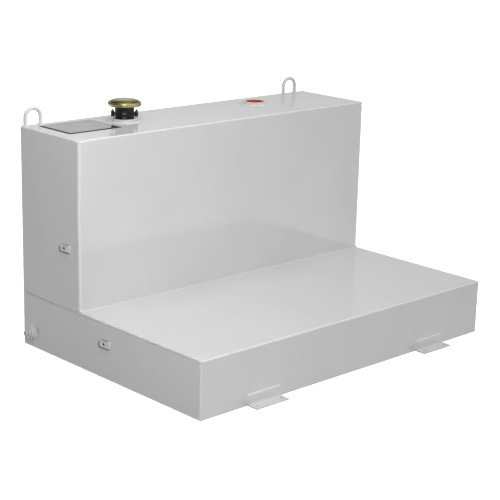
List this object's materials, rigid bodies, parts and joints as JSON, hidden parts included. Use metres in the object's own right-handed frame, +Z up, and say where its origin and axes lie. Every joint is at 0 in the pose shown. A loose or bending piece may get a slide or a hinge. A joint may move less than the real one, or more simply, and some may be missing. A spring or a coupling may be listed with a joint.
{
  "type": "truck bed transfer tank",
  "caption": "L-shaped white steel fuel transfer tank for a pickup bed, with baffles, screw filler cap, plugged pump port, drain, lifting loops and angle brackets.",
  "frame": {"origin": "middle of the tank's flat underside, which rests on the truck bed", "axes": "+X along the tank's width, to the right of someone facing the low deck; +Y from the low deck towards the tall back wall; +Z up"},
  "size_m": [1.2432, 0.8846, 0.7661],
  "materials": {
    "powder_coat": "glossy white powder coat over welded steel sheet",
    "bare_steel": "bare mill-finish steel inside the tank",
    "black_iron": "satin black",
    "bright_zinc": "bright zinc plate",
    "yellow_zinc": "glossy yellow zinc plate with a faint green and pink sheen",
    "orange_plastic": "orange-red moulded plastic",
    "rubber": "black rubber",
    "felt": "grey felt"
  },
  "bodies": {
    "tank": {"base_and_back_sheet": "powder_coat", "deck_and_front_sheet": "powder_coat", "top_plate": "powder_coat", "left_lower_end": "powder_coat", "left_upper_end": "powder_coat", "right_lower_end": "powder_coat", "right_upper_end": "powder_coat", "left_baffle": "bare_steel", "right_baffle": "bare_steel", "filler_flange": "powder_coat", "port_flange": "powder_coat", "filler_neck": "black_iron", "lug_band": "black_iron", "lug_bolt_1": "bright_zinc", "lug_bolt_2": "bright_zinc", "lug_bolt_3": "bright_zinc", "lug_bolt_4": "bright_zinc", "lug_nut_1": "bright_zinc", "lug_nut_2": "bright_zinc", "lug_nut_3": "bright_zinc", "lug_nut_4": "bright_zinc", "left_loop": "powder_coat", "right_loop": "powder_coat", "drain_flange": "powder_coat", "drain_bushing": "powder_coat", "upper_tab": "powder_coat", "lower_tab": "powder_coat", "left_bracket": "powder_coat", "right_bracket": "powder_coat"},
    "gasket": {"cap_gasket": "rubber"},
    "cap": {"cap_shell": "yellow_zinc", "cap_insert": "bright_zinc", "breather_filter": "felt"},
    "port_plug": {"port_plug": "orange_plastic"},
    "drain_plug": {"drain_plug": "powder_coat"}
  },
  "joints": [
    {"name": "cap_lift", "type": "slide", "parent": "tank", "child": "gasket", "axis": [0, 0, 1], "range_m": [0, 0.02]},
    {"name": "cap_turn", "type": "hinge", "parent": "gasket", "child": "cap", "pos_m": [-0.2892, 0.3176, 0.7522], "axis": [0, 0, 1], "range_deg": [0, 1800]},
    {"name": "port_plug_lift", "type": "slide", "parent": "tank", "child": "port_plug", "axis": [0, 0, 1], "range_m": [0, 0.03]},
    {"name": "drain_plug_out", "type": "slide", "parent": "tank", "child": "drain_plug", "axis": [-1, 0, 0], "range_m": [0, 0.034]}
  ],
  "couplings": [
    {"joint": "cap_lift", "follows": "cap_turn", "m_per_rad": 0.0006366}
  ]
}
